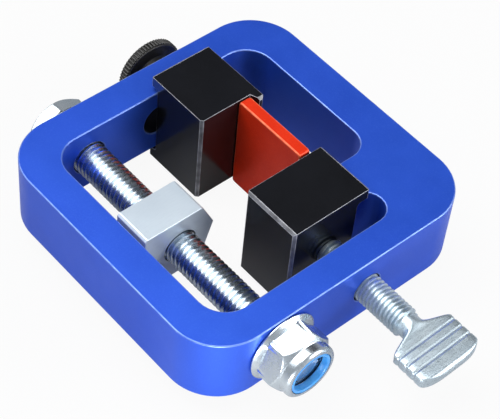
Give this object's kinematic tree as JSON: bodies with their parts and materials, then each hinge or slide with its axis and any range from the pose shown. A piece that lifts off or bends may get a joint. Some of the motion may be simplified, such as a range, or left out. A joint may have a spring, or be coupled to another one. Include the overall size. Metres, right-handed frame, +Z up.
{
  "type": "screw-driven pusher fixture",
  "caption": "Bench fixture: a ring frame with a screw-driven pusher, two clamping jaws, a support plate, a thumb screw and a clamp knob.",
  "frame": {"origin": "on the frame's underside, at the middle of the front wall", "axes": "+Z up through the frame's height, +Y from the front wall (thumb screw side) to the back wall, +X to the right seen from the front"},
  "size_m": [0.09, 0.1265, 0.0314],
  "materials": {
    "anodised_blue": "blue anodised, fine satin",
    "jaw_black": "black, semi-gloss",
    "plate_red": "orange-red, semi-gloss",
    "zinc": "bright zinc plated",
    "zinc_block": "zinc plated, lightly worn",
    "zinc_cast": "zinc plated over a sand-cast texture",
    "nylon_blue": "nylon, satin",
    "knob_black": "moulded, satin"
  },
  "bodies": {
    "base": {"frame": "anodised_blue"},
    "lead": {"lead_bolt": "zinc", "head_washer": "zinc", "flange_lock_nut": "zinc", "nylon_insert": "nylon_blue"},
    "pusher": {"pusher": "zinc_block"},
    "front_jaw": {"front_jaw": "jaw_black", "jaw_pin": "zinc"},
    "thumb_screw": {"thumb_screw": "zinc_cast"},
    "back_jaw": {"back_jaw": "jaw_black", "support_plate": "plate_red", "plate_screw_upper": "zinc", "plate_screw_lower": "zinc"},
    "knob_washer": {"knob_washer": "zinc"},
    "knob": {"clamp_knob": "knob_black", "knob_stud": "zinc"}
  },
  "joints": [
    {"name": "lead_turn", "type": "hinge", "parent": "base", "child": "lead", "pos_m": [-0.022, 0.0391, 0.0105], "axis": [0, 1, 0], "range_deg": [-5285, 6245]},
    {"name": "pusher_slide", "type": "slide", "parent": "base", "child": "pusher", "axis": [0, 1, 0], "range_m": [-0.026, 0.022]},
    {"name": "front_jaw_slide", "type": "slide", "parent": "base", "child": "front_jaw", "axis": [0, 1, 0], "range_m": [-0.006, 0.0005]},
    {"name": "thumb_turn", "type": "hinge", "parent": "front_jaw", "child": "thumb_screw", "pos_m": [0.00695, 0, 0.0105], "axis": [0, 1, 0], "range_deg": [-1730, 146]},
    {"name": "back_jaw_slide", "type": "slide", "parent": "base", "child": "back_jaw", "axis": [1, 0, 0], "range_m": [-0.009, 0.005]},
    {"name": "knob_lift", "type": "slide", "parent": "back_jaw", "child": "knob_washer", "axis": [0, 1, 0], "range_m": [0, 0.00125]},
    {"name": "knob_turn", "type": "hinge", "parent": "knob_washer", "child": "knob", "pos_m": [0.01095, 0.0839, 0.0105], "axis": [0, 1, 0], "range_deg": [0, 362]}
  ],
  "couplings": [
    {"joint": "lead_turn", "follows": "pusher_slide", "rad_per_m": -4188.8},
    {"joint": "thumb_turn", "follows": "front_jaw_slide", "rad_per_m": 5026.5},
    {"joint": "knob_turn", "follows": "knob_lift", "rad_per_m": 5026.5}
  ]
}
